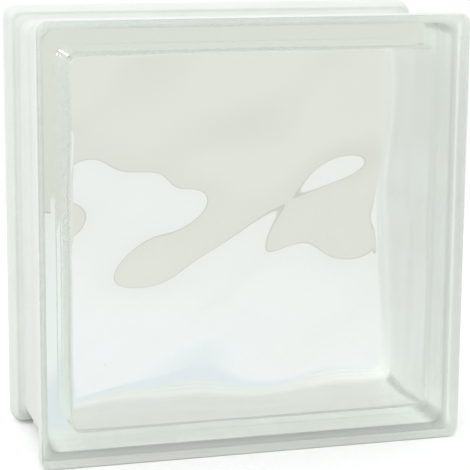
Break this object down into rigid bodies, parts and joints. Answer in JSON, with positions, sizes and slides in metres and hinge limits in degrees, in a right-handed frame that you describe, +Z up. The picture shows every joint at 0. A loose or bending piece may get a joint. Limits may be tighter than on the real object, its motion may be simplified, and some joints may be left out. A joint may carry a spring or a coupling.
{
  "type": "glass block",
  "caption": "Square hollow pressed-glass building block with clear outer faces, waved inner faces, lipped edges and a coated joint channel all round.",
  "frame": {"origin": "middle of the underside, on the level that the two lower lips stand on", "axes": "+Z up, +X across the block, Y through it: the front face is at -Y and the back face at +Y"},
  "size_m": [0.19, 0.08, 0.19],
  "materials": {
    "clear_glass": "clear pressed glass with a faint green tint and waved inner faces; the joint channel round the edge has a thin matt off-white coating"
  },
  "bodies": {
    "root": {"glass_block": "clear_glass"}
  },
  "joints": []
}
